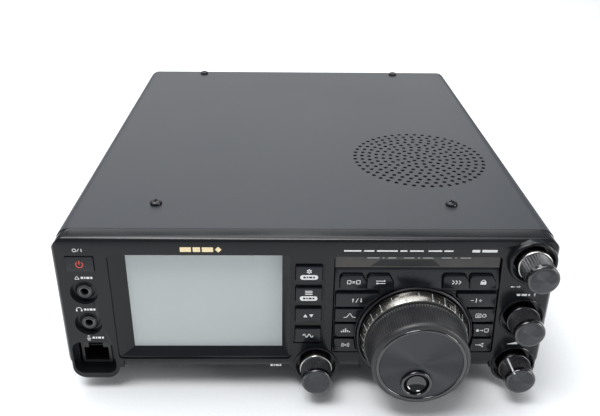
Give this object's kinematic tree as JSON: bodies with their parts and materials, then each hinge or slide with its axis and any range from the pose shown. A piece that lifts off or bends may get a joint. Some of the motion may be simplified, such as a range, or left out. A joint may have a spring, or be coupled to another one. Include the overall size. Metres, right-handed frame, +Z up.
{
  "type": "mobile transceiver",
  "caption": "Compact radio transceiver: metal case with a round speaker field, front panel with screen, large tuning dial, knobs and keys, and sockets and a fan at the back.",
  "frame": {"origin": "centre of the bounding box in x and y, at the height of the surface that the feet stand on", "axes": "+X to the right seen from the front, -Y out of the front panel, +Z up"},
  "size_m": [0.233, 0.2902, 0.089],
  "materials": {
    "cover_paint": "fine textured satin paint",
    "panel_plastic": "satin moulded",
    "trim_plastic": "smooth semi-gloss",
    "screen_glass": "touch panel",
    "display": "unlit liquid crystal display",
    "smoked_window": "smoked translucent",
    "ring_metal": "black, worn bright at its edge",
    "skirt_metal": "turned, anodised grey",
    "knob_rubber": "fine knurled",
    "cup_gloss": "polished black",
    "cast_metal": "die cast",
    "rear_paint": "black, sprayed",
    "bright_metal": "nickel plated",
    "plated_steel": "zinc plated",
    "dark_steel": "blackened",
    "screw_black": "black oxide",
    "socket_plastic": "moulded black",
    "board_green": "solder-masked board",
    "control_body": "moulded with a steel cover",
    "speaker_frame": "pressed frame and magnet",
    "foot_rubber": "moulded",
    "legend_white": "printed ink",
    "legend_red": "printed ink",
    "legend_gold": "hot-stamped foil",
    "knob_collar": "polished"
  },
  "bodies": {
    "case": {"chassis": "cast_metal", "top_cover": "cover_paint", "bottom_cover": "cover_paint", "rear_panel": "rear_paint", "heat_sink": "cast_metal", "front_panel": "panel_plastic", "dial_panel": "trim_plastic", "screen_window": "screen_glass", "display_module": "display", "indicator_window": "smoked_window", "dial_ring": "ring_metal", "dial_encoder": "control_body", "knob_encoders": "control_body", "gain_controls": "control_body", "front_board": "board_green", "main_board": "board_green", "power_board": "board_green", "shield_can": "plated_steel", "speaker": "speaker_frame", "fan_frame": "socket_plastic", "front_jacks": "socket_plastic", "mic_socket": "socket_plastic", "hf_antenna_socket": "bright_metal", "vhf_antenna_socket": "bright_metal", "dc_inlet": "socket_plastic", "ground_terminal": "plated_steel", "accessory_sockets": "socket_plastic", "serial_port": "bright_metal", "usb_port": "bright_metal", "rear_jacks": "socket_plastic", "rubber_feet": "foot_rubber", "bail_brackets": "socket_plastic", "cover_screws": "screw_black", "panel_screws": "plated_steel"},
    "dial": {"main_dial": "knob_rubber", "dial_skirt": "skirt_metal", "finger_cup": "cup_gloss"},
    "power_key": {"power_key": "trim_plastic"},
    "function_key": {"function_key": "trim_plastic"},
    "menu_key": {"menu_key": "trim_plastic"},
    "band_key": {"band_key": "trim_plastic"},
    "mode_key": {"mode_key": "trim_plastic"},
    "copy_key": {"copy_key": "trim_plastic"},
    "swap_key": {"swap_key": "trim_plastic"},
    "fast_key": {"fast_key": "trim_plastic"},
    "lock_key": {"lock_key": "trim_plastic"},
    "recall_key": {"recall_key": "trim_plastic"},
    "tune_key": {"tune_key": "trim_plastic"},
    "scope_key": {"scope_key": "trim_plastic"},
    "watch_key": {"watch_key": "trim_plastic"},
    "clarifier_key": {"clarifier_key": "trim_plastic"},
    "memory_key": {"memory_key": "trim_plastic"},
    "store_key": {"store_key": "trim_plastic"},
    "split_key": {"split_key": "trim_plastic"},
    "multi_knob": {"multi_knob": "knob_rubber"},
    "clarifier_knob": {"clarifier_knob": "knob_rubber"},
    "rf_gain_knob": {"rf_gain_knob": "knob_rubber"},
    "af_gain_knob": {"af_gain_knob": "knob_rubber"},
    "fan_rotor": {"fan_rotor": "socket_plastic"},
    "tilt_bail": {"tilt_bail": "dark_steel"}
  },
  "joints": [
    {"name": "dial_turn", "type": "hinge", "parent": "case", "child": "dial", "pos_m": [0.0518, -0.1319, 0.0336], "axis": [0, 1, 0], "continuous": true},
    {"name": "multi_turn", "type": "hinge", "parent": "case", "child": "multi_knob", "pos_m": [0.0055, -0.1279, 0.0155], "axis": [0, 1, 0], "continuous": true},
    {"name": "clarifier_turn", "type": "hinge", "parent": "case", "child": "clarifier_knob", "pos_m": [0.1023, -0.1279, 0.0753], "axis": [0, 1, 0], "continuous": true},
    {"name": "rf_gain_turn", "type": "hinge", "parent": "case", "child": "rf_gain_knob", "pos_m": [0.1023, -0.1279, 0.044], "axis": [0, 1, 0], "range_deg": [-300, 0]},
    {"name": "af_gain_turn", "type": "hinge", "parent": "case", "child": "af_gain_knob", "pos_m": [0.1023, -0.1279, 0.016], "axis": [0, 1, 0], "range_deg": [-114, 186]},
    {"name": "fan_spin", "type": "hinge", "parent": "case", "child": "fan_rotor", "pos_m": [0, 0.1201, 0.049], "axis": [0, 1, 0], "continuous": true},
    {"name": "bail_swing", "type": "hinge", "parent": "case", "child": "tilt_bail", "pos_m": [0, -0.0899, 0.0081], "axis": [-1, 0, 0], "range_deg": [0, 100]},
    {"name": "power_key_press", "type": "slide", "parent": "case", "child": "power_key", "axis": [0, 1, 0], "range_m": [0, 0.0008], "stiffness_N_per_m": 900},
    {"name": "function_key_press", "type": "slide", "parent": "case", "child": "function_key", "axis": [0, 1, 0], "range_m": [0, 0.0008], "stiffness_N_per_m": 900},
    {"name": "menu_key_press", "type": "slide", "parent": "case", "child": "menu_key", "axis": [0, 1, 0], "range_m": [0, 0.0008], "stiffness_N_per_m": 900},
    {"name": "band_key_press", "type": "slide", "parent": "case", "child": "band_key", "axis": [0, 1, 0], "range_m": [0, 0.0008], "stiffness_N_per_m": 900},
    {"name": "mode_key_press", "type": "slide", "parent": "case", "child": "mode_key", "axis": [0, 1, 0], "range_m": [0, 0.0008], "stiffness_N_per_m": 900},
    {"name": "copy_key_press", "type": "slide", "parent": "case", "child": "copy_key", "axis": [0, 1, 0], "range_m": [0, 0.0008], "stiffness_N_per_m": 900},
    {"name": "swap_key_press", "type": "slide", "parent": "case", "child": "swap_key", "axis": [0, 1, 0], "range_m": [0, 0.0008], "stiffness_N_per_m": 900},
    {"name": "fast_key_press", "type": "slide", "parent": "case", "child": "fast_key", "axis": [0, 1, 0], "range_m": [0, 0.0008], "stiffness_N_per_m": 900},
    {"name": "lock_key_press", "type": "slide", "parent": "case", "child": "lock_key", "axis": [0, 1, 0], "range_m": [0, 0.0008], "stiffness_N_per_m": 900},
    {"name": "recall_key_press", "type": "slide", "parent": "case", "child": "recall_key", "axis": [0, 1, 0], "range_m": [0, 0.0008], "stiffness_N_per_m": 900},
    {"name": "tune_key_press", "type": "slide", "parent": "case", "child": "tune_key", "axis": [0, 1, 0], "range_m": [0, 0.0008], "stiffness_N_per_m": 900},
    {"name": "scope_key_press", "type": "slide", "parent": "case", "child": "scope_key", "axis": [0, 1, 0], "range_m": [0, 0.0008], "stiffness_N_per_m": 900},
    {"name": "watch_key_press", "type": "slide", "parent": "case", "child": "watch_key", "axis": [0, 1, 0], "range_m": [0, 0.0008], "stiffness_N_per_m": 900},
    {"name": "clarifier_key_press", "type": "slide", "parent": "case", "child": "clarifier_key", "axis": [0, 1, 0], "range_m": [0, 0.0008], "stiffness_N_per_m": 900},
    {"name": "memory_key_press", "type": "slide", "parent": "case", "child": "memory_key", "axis": [0, 1, 0], "range_m": [0, 0.0008], "stiffness_N_per_m": 900},
    {"name": "store_key_press", "type": "slide", "parent": "case", "child": "store_key", "axis": [0, 1, 0], "range_m": [0, 0.0008], "stiffness_N_per_m": 900},
    {"name": "split_key_press", "type": "slide", "parent": "case", "child": "split_key", "axis": [0, 1, 0], "range_m": [0, 0.0008], "stiffness_N_per_m": 900}
  ]
}
